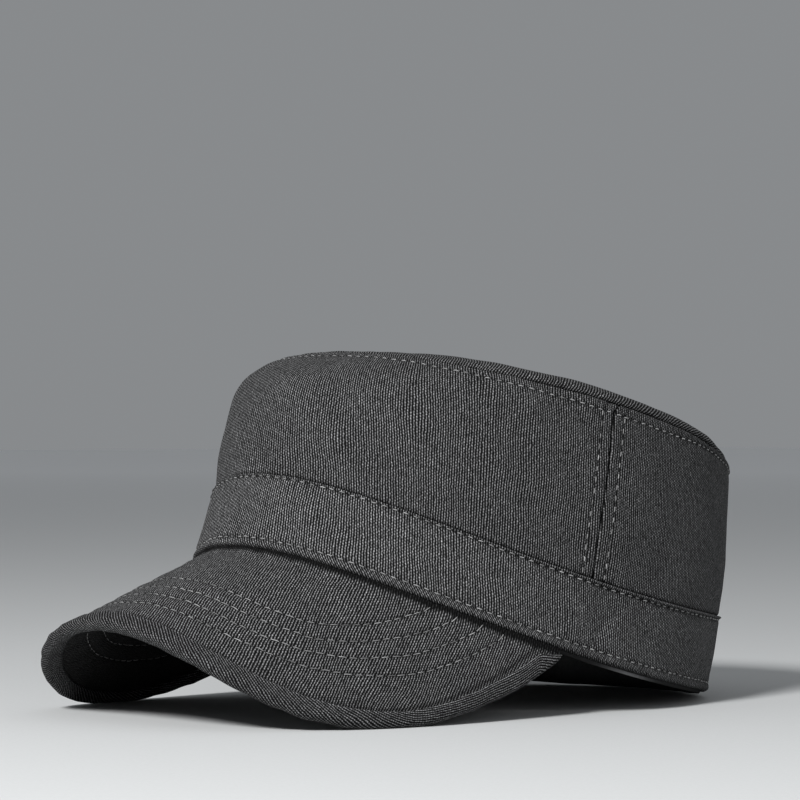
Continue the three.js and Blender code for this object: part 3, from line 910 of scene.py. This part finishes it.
def peak_cloth(name, side, steps, rows, thickness, replaced, seed):
    """One of the peak's two cloths. side is 1 for the upper one and -1 for the lower one."""
    offset = SHEETS / 2
    across = np.linspace(-PEAK_ENDS, PEAK_ENDS, steps)
    outs = np.linspace(0, 1, rows)
    grid = np.meshgrid(across, outs, indexing="ij")
    layer = peak_layer(*grid)
    up = peak_frame(*grid)[1]
    base = layer + up * (side * offset)
    to_edge = distance_to_edge(layer)
    to_binding = to_edge - by_place(grid[0], BINDING_WIDTHS) - 0.4
    to_edge = to_edge - by_place(grid[0], ROW_WANDER)
    seams = [Seam(base, up * side, to_edge, distance) for distance in PEAK_ROWS]
    relief = 0.1 * ripple(base, 12, seed) + 0.07 * ripple(base, 5, seed + 1)
    for seam in seams:
        relief = relief - 0.42 * seam.drawn(0.55)
    for low, high in zip(PEAK_ROWS[:-1], PEAK_ROWS[1:]):
        relief += 0.16 * hump(to_edge, low, high)
    relief -= 0.25 * rolled(to_edge, 4.5)
    relief *= np.clip(to_edge / 4, 0.2, 1)
    from_root = arc(layer, 1)
    rise = np.zeros_like(layer)
    if side > 0:
        rise[..., 2] = (ROOT_DROP - HEM_GAP - offset * up[:, :1, 2]) * rolled(from_root, 4)
    face = base + up * (side * relief)[..., None] + rise
    under = layer + up * (side * (offset - thickness)) + rise
    middle_row = layer[:, rows // 2]
    bend = arc(middle_row[:, None], 0)[:, 0]
    unrolled = np.interp(layer[..., 0], middle_row[:, 0], bend - bend[steps // 2])
    forward = layer[..., 1]
    ribs = unrolled * (1.11 - 0.0031 * np.maximum(unrolled, 0) + 0.0012 * forward) + 0.44 * forward
    uv = np.stack([ribs, 0.9 * forward - 0.42 * unrolled], -1)
    # Painted shadow of the hem over the peak's root, painted shade in the grooves of the rows of stitches,
    # and a little darker over the last 22 mm towards the free edge
    tone = 1 - 1.1 * rolled(from_root - 0.8, 1.9) - 0.15 * rolled(to_edge, 22)
    for seam in seams:
        tone -= 0.85 * seam.drawn(0.6)
    # Painted shade along the binding's edge on the upper cloth
    if side > 0:
        tone = tone - 0.5 * groove(to_binding, 0.7)
    # The lower cloth gets 0.28 of the colour: painted shade under the peak
    tone = np.clip(tone, 0.06, 1) * (1 if side > 0 else 0.28)
    cloth_piece(name, face, under, False, uv, uv, tone, PEAK, [replaced], flip=side > 0)
    radius = THREAD_RADIUS * (0.8 if side > 0 else 0.6)
    return [seam.stitches(face, seed + 10 + k, radius, PEAK_STITCH) for k, seam in enumerate(seams)]


threads["peak_stitches"] = peak_cloth(
    "peak_upper_cloth", 1, steps=360, rows=110, thickness=UPPER_CLOTH, replaced="peak_upper", seed=101
)
threads["peak_under_stitches"] = peak_cloth(
    "peak_lower_cloth", -1, steps=240, rows=56, thickness=LOWER_CLOTH, replaced="peak_lower", seed=131
)

# The binding's outline over, round and under the peak's edge: how far each point lies in front of the
# edge and over the peak's middle layer. Behind the edge, the first number is a share of the binding's
# width over the peak, and five times that share under it
BINDING_OVER = ((-1, 1.5), (-0.99, 1.85), (-0.93, 2.12), (-0.8, 2.25), (-0.5, 2.4), (-0.2, 2.5))
BINDING_NOSE = (
    (0.0, 2.5), (0.55, 2.35), (1.1, 1.95), (1.5, 1.3), (1.7, 0.5), (1.7, -0.4), (1.5, -1.3), (1.1, -2.0),
)
BINDING_UNDER = ((0.4, -2.45), (-0.3, -2.6), (-2, -2.65), (-3.5, -2.55), (-4.6, -2.3), (-5, -1.7))


def binding_piece():
    across = np.linspace(-PEAK_ENDS, PEAK_ENDS, 440)
    along, up = peak_frame(across, np.ones_like(across))
    edge = peak_layer(across, 1.0)
    length = np.linalg.norm(peak_layer(across, 0.0) - edge, axis=-1)
    width = np.minimum(by_place(across, BINDING_WIDTHS), length * BINDING_LIMIT)

    def flange(back, offset):
        out = 1 - width * back / length
        return peak_layer(across, out) + peak_frame(across, out)[1] * offset

    def corner(forward, offset):
        return edge + along * forward + up * offset

    over = [flange(-forward, offset) for forward, offset in BINDING_OVER]
    nose = [corner(forward, offset) for forward, offset in BINDING_NOSE]
    under = [
        flange(-forward / 5, offset) if forward < 0 else corner(forward, offset)
        for forward, offset in BINDING_UNDER
    ]
    base = np.stack([*over, *nose, *under], 1)
    tangent = np.gradient(base, axis=0)
    normal = unit(np.cross(np.gradient(base, axis=1), tangent))
    relief = 0.1 * ripple(base, 9, 151) + 0.03 * ripple(base, 4, 152)
    face = base + normal * relief[..., None]
    inside = base - normal * BINDING_CLOTH * 0.7
    run = arc(edge[:, None], 0)
    run = run - run[len(run) // 2]
    around = arc(base, 1)
    slant = np.radians(np.interp(np.abs(across), SLANT_PLACES, SLANTS))[:, None]
    step = np.gradient(run[:, 0])[:, None]
    total = np.cumsum(np.sin(slant) * step, axis=0)
    along_rib = np.cumsum(np.cos(slant) * step, axis=0)
    uv = np.stack([total - around * np.cos(slant), along_rib + around * np.sin(slant)], -1)
    # A painted highlight along the binding's upper edge and painted shade where it meets the peak
    tone = 1 + 0.9 * groove(around - 0.75, 0.45) - 0.7 * rolled(around, 0.4)
    cloth_piece(
        "binding_cloth", face, inside, False, uv, uv, tone, BINDING, ["peak_edge"], flip=True
    )


binding_piece()

for thread_name, rows in threads.items():
    thread_piece(thread_name, rows, THREAD)


# The floor, the lights and the camera, with lengths in metres apart from the lens and its sensor
AZIMUTH = math.radians(49.032)
PITCH = math.radians(-0.4045)
LENS = 166.48
SENSOR = 36
EYE = Vector((1.0234, -0.8903, 0.1018))
BACKWARD = Vector(
    (math.sin(AZIMUTH) * math.cos(PITCH), -math.cos(AZIMUTH) * math.cos(PITCH), math.sin(PITCH))
)
RIGHT = Vector((math.cos(AZIMUTH), math.sin(AZIMUTH), 0))
UPWARD = BACKWARD.cross(RIGHT)
MIDDLE = Vector((0, 0, 0.065))
FLOOR_REACH = 12
FLOOR_LEVEL = -0.0002


def add_camera():
    data = bpy.data.cameras.new("camera")
    data.lens = LENS
    data.sensor_width = SENSOR
    camera = bpy.data.objects.new("camera", data)
    turn = Matrix((RIGHT, UPWARD, BACKWARD)).transposed().to_4x4()
    camera.matrix_world = Matrix.Translation(EYE) @ turn
    bpy.context.scene.collection.objects.link(camera)
    bpy.context.scene.camera = camera


def add_light(name, right, up, backward, size, power):
    """A soft round light, placed to the right, straight up and towards the camera from the cap's middle."""
    data = bpy.data.lights.new(name, "AREA")
    data.shape = "DISK"
    data.size = size
    data.energy = power
    light = bpy.data.objects.new(name, data)
    offset = RIGHT * right + Vector((0, 0, 1)) * up + BACKWARD * backward
    light.location = MIDDLE + offset
    light.rotation_mode = "QUATERNION"
    light.rotation_quaternion = offset.to_track_quat("Z", "Y")
    bpy.context.scene.collection.objects.link(light)


def add_floor():
    mesh = bpy.data.meshes.new("floor")
    reach, below = FLOOR_REACH, FLOOR_LEVEL
    corners = [(-reach, -reach, below), (reach, -reach, below), (reach, reach, below), (-reach, reach, below)]
    mesh.from_pydata(corners, [], [(0, 1, 2, 3)])
    graph = Graph("floor_paper")
    places = graph.node("ShaderNodeTexCoord").outputs["Object"]
    grain = graph.noise(places, 900.0, 2.0)
    distance = graph.node("ShaderNodeVectorMath", {0: places}, operation="LENGTH").outputs["Value"]
    paler = graph.spread(distance, 0.6, 7.0, 0, 0.9)
    light = graph.math("ADD", graph.math("MULTIPLY", grain, 0.2), paler)
    graph.shade(light, (0.62, 0.63, 0.63), (0.96, 0.97, 0.98), clamped=True)
    graph.shader.inputs["Roughness"].default_value = 0.9
    graph.shader.inputs["Specular IOR Level"].default_value = 0.2
    mesh.materials.append(graph.material)
    floor = bpy.data.objects.new("floor", mesh)
    bpy.context.scene.collection.objects.link(floor)


def add_world():
    world = bpy.data.worlds.new("studio")
    world.use_nodes = True
    background = world.node_tree.nodes["Background"]
    background.inputs["Color"].default_value = (0.82, 0.85, 0.88, 1)
    background.inputs["Strength"].default_value = 0.3
    bpy.context.scene.world = world


add_camera()
add_light("key", right=-0.75, up=1.2, backward=1.6, size=0.5, power=52)
add_light("fill", right=1.2, up=0.7, backward=1.4, size=1.4, power=3)
add_floor()
add_world()
bpy.context.scene.view_settings.view_transform = "Standard"
